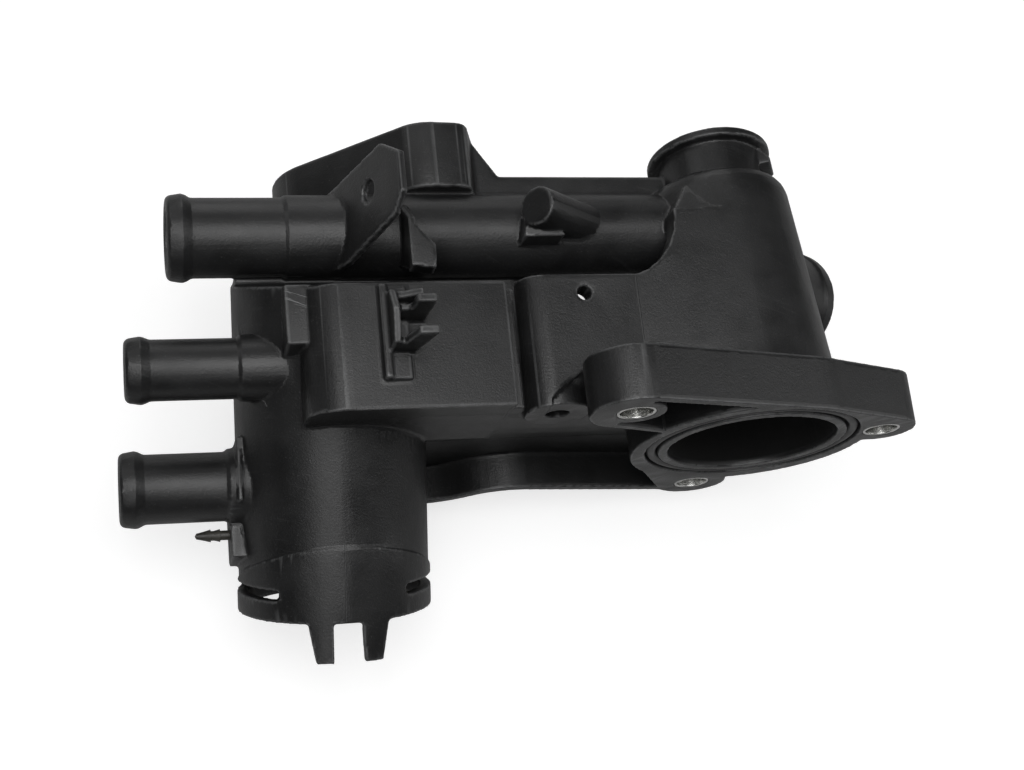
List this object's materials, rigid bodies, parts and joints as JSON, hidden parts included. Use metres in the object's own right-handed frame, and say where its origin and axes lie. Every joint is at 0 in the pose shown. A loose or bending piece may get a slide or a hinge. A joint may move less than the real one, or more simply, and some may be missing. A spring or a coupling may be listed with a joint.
{
  "type": "thermostat housing",
  "caption": "Moulded plastic engine coolant housing with hose stubs, plug-in sensor sockets, a bolted flange with bushes and seal, and a wax valve in its chamber.",
  "frame": {"origin": "centre of the engine flange's coolant opening, on the flange face", "axes": "the flange faces -Y, the hose stubs point to -X, and +Z points to the front of the housing, the side with the clip bracket"},
  "size_m": [0.2038, 0.1353, 0.103],
  "materials": {
    "black_plastic": "fine-grained, glass-filled",
    "bush_steel": "drawn",
    "seal_rubber": "matt",
    "peg_plastic": "satin",
    "valve_brass": "stamped",
    "spring_steel": "drawn wire"
  },
  "bodies": {
    "housing_body": {"housing": "black_plastic", "flange_bush_1": "bush_steel", "flange_bush_2": "bush_steel", "flange_bush_3": "bush_steel", "flange_seal": "seal_rubber", "vent_peg": "peg_plastic", "rim_seal": "seal_rubber", "seat_plate": "valve_brass", "spring_frame": "valve_brass", "piston": "bush_steel", "jiggle_pin": "bush_steel", "main_spring": "spring_steel"},
    "valve_body": {"wax_capsule": "valve_brass", "valve_disc": "valve_brass", "valve_gasket": "seal_rubber", "bypass_disc": "valve_brass", "bypass_spring": "spring_steel", "stem_clip": "bush_steel"}
  },
  "joints": [
    {"name": "valve_lift", "type": "slide", "parent": "housing_body", "child": "valve_body", "axis": [-0.0081, 0.9232, 0.3843], "range_m": [0, 0.008], "stiffness_N_per_m": 3000, "springref_m": -0.012, "deforming": ["main_spring"]}
  ]
}
